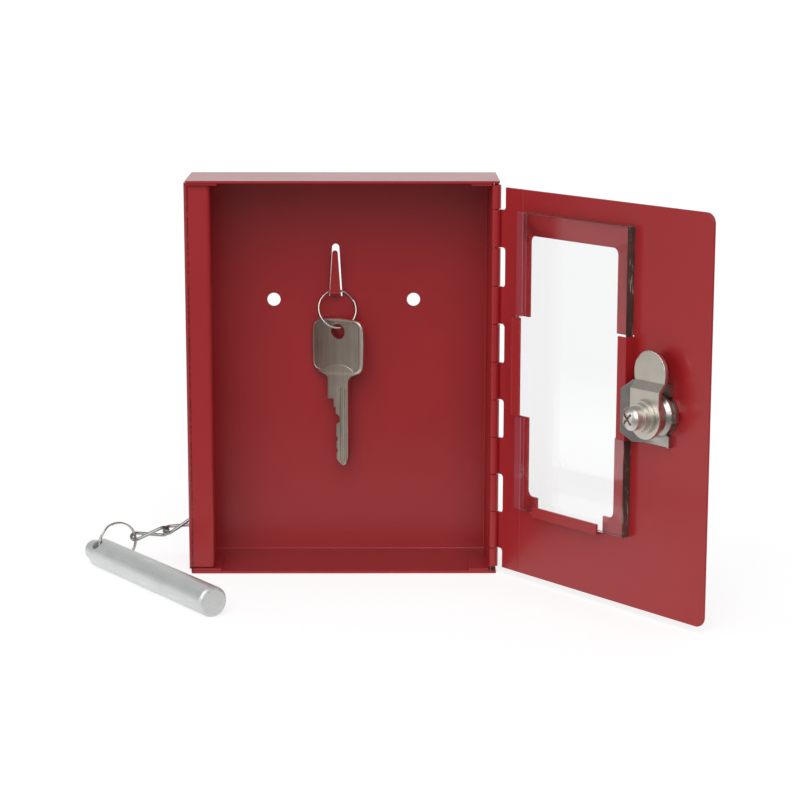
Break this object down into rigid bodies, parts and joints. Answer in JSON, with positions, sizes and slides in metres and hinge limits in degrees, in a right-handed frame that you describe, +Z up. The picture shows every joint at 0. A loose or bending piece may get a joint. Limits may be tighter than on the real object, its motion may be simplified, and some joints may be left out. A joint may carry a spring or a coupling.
{
  "type": "break glass key box",
  "caption": "Wall-mounted folded steel key box with a glazed hinged door, cam lock, stored key on a hook and a chained steel hammer for breaking the pane.",
  "frame": {"origin": "middle of the two wall holes, on the outer face of the back", "axes": "+Z up, -Y out of the front, +X towards the hinge side"},
  "size_m": [0.2309, 0.1298, 0.152],
  "materials": {
    "red_steel": "smooth semi-gloss powder coat",
    "zinc_steel": "bright zinc, slightly worn",
    "spring_steel": "bright nickel-plated wire",
    "die_cast": "cast zinc with nickel plate",
    "nickel_plate": "warm nickel plate, soft shine",
    "float_glass": "clear float glass, cut edges"
  },
  "bodies": {
    "box": {"housing": "red_steel", "hinge_pin": "spring_steel"},
    "door": {"door_panel": "red_steel", "lock_body": "die_cast", "lock_clip": "nickel_plate"},
    "pane": {"glass_pane": "float_glass"},
    "cylinder": {"lock_plug": "die_cast", "wafer_tumblers": "nickel_plate", "retainer_wafer": "nickel_plate", "lock_cam": "nickel_plate", "cam_washer": "nickel_plate", "cam_spring_washer": "nickel_plate", "cam_screw": "nickel_plate"},
    "key_ring_body": {"key_ring": "spring_steel"},
    "key": {"stored_key": "nickel_plate"},
    "anchor": {"chain_anchor_ring": "spring_steel"},
    "link_inner": {"chain_link_inner": "spring_steel"},
    "link_outer": {"chain_link_outer": "spring_steel"},
    "hammer_ring_body": {"hammer_ring": "spring_steel"},
    "hammer_body": {"hammer": "zinc_steel"}
  },
  "joints": [
    {"name": "door_hinge", "type": "hinge", "parent": "box", "child": "door", "pos_m": [0.0582, -0.0362, 0], "axis": [0, 0, 1], "range_deg": [-126.4, 63.6]},
    {"name": "pane_lift", "type": "slide", "parent": "door", "child": "pane", "axis": [0, 0, 1], "range_m": [0, 0.008]},
    {"name": "lock_turn", "type": "hinge", "parent": "door", "child": "cylinder", "pos_m": [0.1084, -0.11473, -0.0256], "axis": [0.8049, 0.5934, 0], "range_deg": [0, 90]},
    {"name": "key_ring_swing", "type": "hinge", "parent": "box", "child": "key_ring_body", "pos_m": [-0.0032, -0.00265, 0.00383], "axis": [-0.9659, -0.2588, 0], "range_deg": [0, 12]},
    {"name": "key_swing", "type": "hinge", "parent": "key_ring_body", "child": "key", "pos_m": [-0.00186, -0.00763, -0.01036], "axis": [0.4695, 0.8829, 0], "range_deg": [-4, 4]},
    {"name": "anchor_swing", "type": "hinge", "parent": "box", "child": "anchor", "pos_m": [-0.05832, -0.01975, -0.08495], "axis": [1, 0, 0], "range_deg": [-10, 10]},
    {"name": "link_inner_lift", "type": "hinge", "parent": "box", "child": "link_inner", "pos_m": [-0.05832, -0.01975, -0.08495], "axis": [0.1392, -0.9903, 0], "range_deg": [-6, 6]},
    {"name": "link_outer_turn", "type": "hinge", "parent": "link_inner", "child": "link_outer", "pos_m": [-0.06995, -0.02138, -0.08879], "axis": [0, 0, 1], "range_deg": [-8, 8]},
    {"name": "hammer_ring_tilt", "type": "hinge", "parent": "link_outer", "child": "hammer_ring_body", "pos_m": [-0.08203, -0.02308, -0.09074], "axis": [0.1392, -0.9903, 0], "range_deg": [-6, 6]},
    {"name": "hammer_swing", "type": "hinge", "parent": "hammer_ring_body", "child": "hammer_body", "pos_m": [-0.09316, -0.03017, -0.09625], "axis": [0, 0, 1], "range_deg": [-6, 6]}
  ]
}
